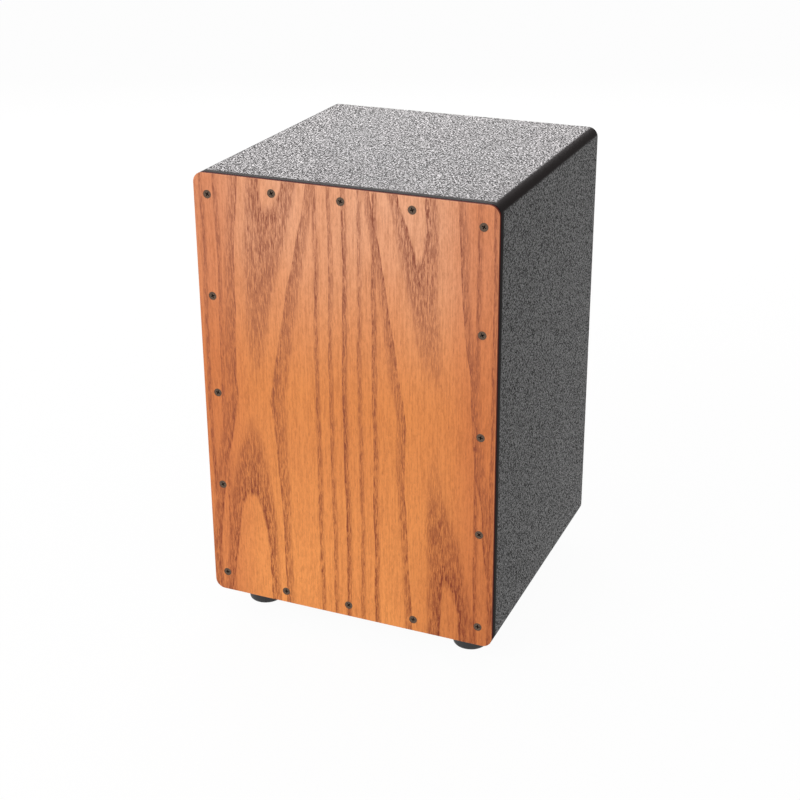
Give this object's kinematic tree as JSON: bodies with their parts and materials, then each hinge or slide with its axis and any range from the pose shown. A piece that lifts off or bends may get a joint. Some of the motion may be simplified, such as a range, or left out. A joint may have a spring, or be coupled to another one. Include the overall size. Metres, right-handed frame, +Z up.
{
  "type": "cajon",
  "caption": "Box drum to sit on and strike: rounded black-coated case, screwed ash front plate, rear sound hole, rubber feet, and strings behind the plate with screw tensioners.",
  "frame": {"origin": "on the floor under the middle of the box", "axes": "+Z up, the tapa (front plate) faces -Y, +X is to the right of someone who looks at the tapa"},
  "size_m": [0.3, 0.3, 0.465],
  "materials": {
    "black_texture_coat": "fibreboard under a black spatter-textured coat",
    "ash_veneer": "stained and lacquered ash-faced plywood",
    "pine": "planed, bare",
    "black_screw": "black-phosphated steel",
    "black_bolt": "black-oxide steel",
    "zinc_steel": "zinc-plated",
    "string_steel": "wound steel string",
    "brass": "turned",
    "black_rubber": "moulded, satin"
  },
  "bodies": {
    "shell": {"seat_panel": "black_texture_coat", "bottom_panel": "black_texture_coat", "left_side_panel": "black_texture_coat", "right_side_panel": "black_texture_coat", "back_panel": "black_texture_coat", "tapa": "ash_veneer", "tapa_screws": "black_screw", "front_top_batten": "pine", "front_bottom_batten": "pine", "front_left_batten": "pine", "front_right_batten": "pine", "rear_top_batten": "pine", "rear_bottom_batten": "pine", "rear_left_batten": "pine", "rear_right_batten": "pine", "upper_left_corner_batten": "pine", "upper_right_corner_batten": "pine", "lower_left_corner_batten": "pine", "lower_right_corner_batten": "pine", "front_left_foot": "black_rubber", "front_right_foot": "black_rubber", "rear_left_foot": "black_rubber", "rear_right_foot": "black_rubber", "foot_washers": "zinc_steel", "foot_screws": "zinc_steel", "left_string_anchor": "zinc_steel", "right_string_anchor": "zinc_steel", "left_tension_guide": "zinc_steel", "right_tension_guide": "zinc_steel", "bolt_washers": "zinc_steel", "anchor_screws": "zinc_steel", "guide_screws": "zinc_steel", "left_strings": "string_steel", "right_strings": "string_steel", "upper_ball_ends": "brass"},
    "left_bolt": {"left_tension_bolt": "black_bolt"},
    "left_yoke": {"left_tension_yoke": "zinc_steel", "left_lower_ball_ends": "brass"},
    "right_bolt": {"right_tension_bolt": "black_bolt"},
    "right_yoke": {"right_tension_yoke": "zinc_steel", "right_lower_ball_ends": "brass"}
  },
  "joints": [
    {"name": "left_bolt_turn", "type": "hinge", "parent": "shell", "child": "left_bolt", "pos_m": [-0.042, -0.138, 0.025], "axis": [0, 0, 1], "range_deg": [-1080, 720]},
    {"name": "left_yoke_travel", "type": "slide", "parent": "shell", "child": "left_yoke", "axis": [0, 0, 1], "range_m": [-0.0016, 0.0024], "deforming": ["left_strings"]},
    {"name": "right_bolt_turn", "type": "hinge", "parent": "shell", "child": "right_bolt", "pos_m": [0.042, -0.138, 0.025], "axis": [0, 0, 1], "range_deg": [-1080, 720]},
    {"name": "right_yoke_travel", "type": "slide", "parent": "shell", "child": "right_yoke", "axis": [0, 0, 1], "range_m": [-0.0016, 0.0024], "deforming": ["right_strings"]}
  ],
  "couplings": [
    {"joint": "left_bolt_turn", "follows": "left_yoke_travel", "rad_per_m": -7853.9},
    {"joint": "right_bolt_turn", "follows": "right_yoke_travel", "rad_per_m": -7853.9}
  ]
}
